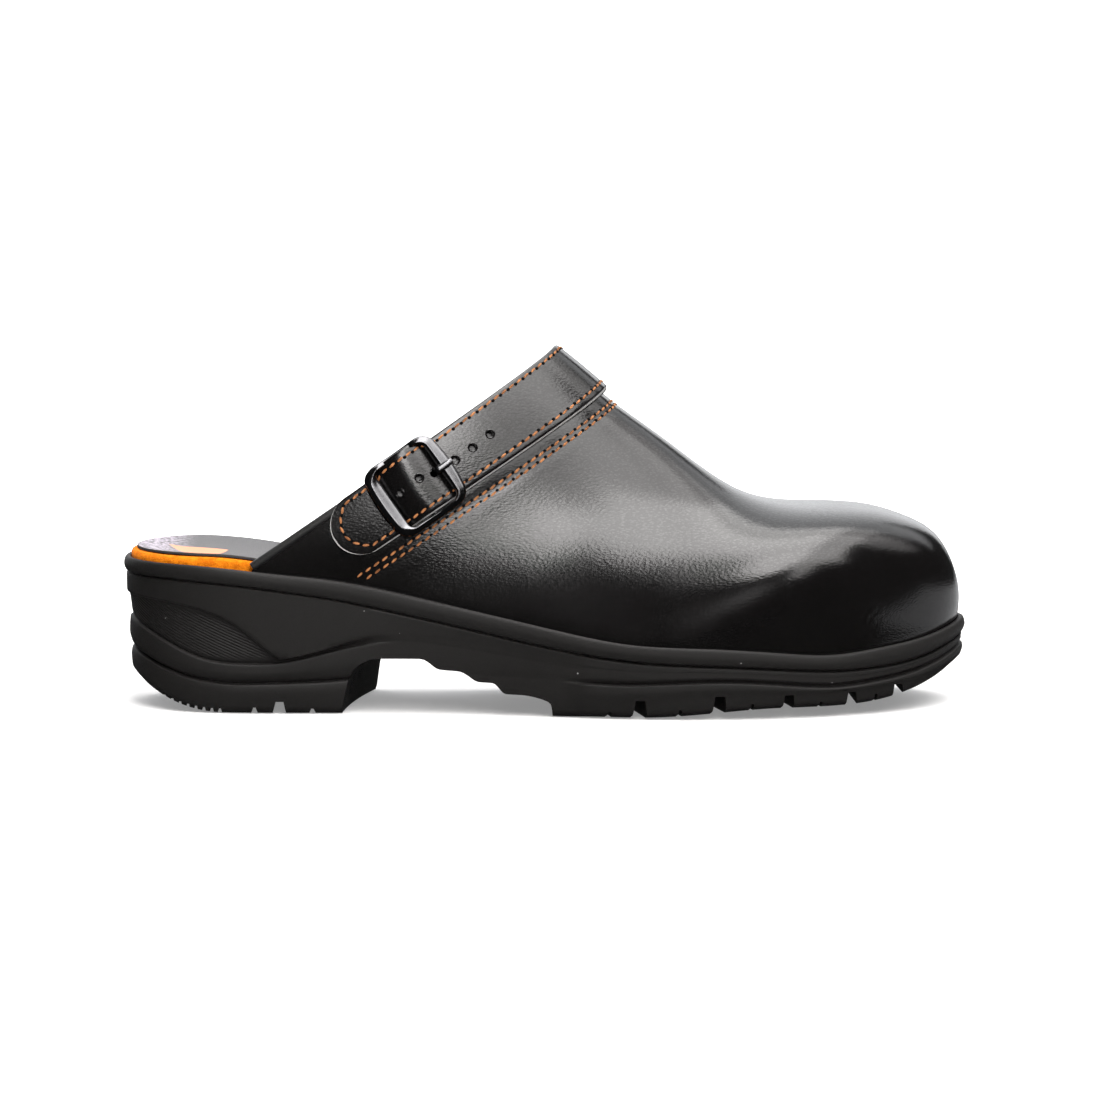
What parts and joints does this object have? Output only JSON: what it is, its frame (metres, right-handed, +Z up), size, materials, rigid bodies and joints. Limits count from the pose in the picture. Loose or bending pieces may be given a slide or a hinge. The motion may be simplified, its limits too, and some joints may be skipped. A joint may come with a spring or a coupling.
{
  "type": "safety clog",
  "caption": "Black closed-toe safety clog for the right foot, with an open back, a heeled lugged sole, a felt footbed and a buckled instep strap.",
  "frame": {"origin": "middle of the footprint's bounding box, on the floor", "axes": "+X to the toe, +Y to the inner (medial) side of the foot, +Z up"},
  "size_m": [0.295, 0.107, 0.125],
  "materials": {
    "sole": "matt moulded polyurethane",
    "upper": "smooth black leather with a soft gloss",
    "insole": "orange felt",
    "insole_cover": "grey cloth",
    "collar_binding": "black binding",
    "instep_strap": "smooth black leather",
    "buckle": "polished black nickel"
  },
  "bodies": {
    "root": {"sole": "sole", "upper": "upper", "insole": "insole", "insole_cover": "insole_cover", "collar_binding": "collar_binding", "instep_strap": "instep_strap", "buckle_frame": "buckle", "buckle_prong": "buckle"}
  },
  "joints": []
}
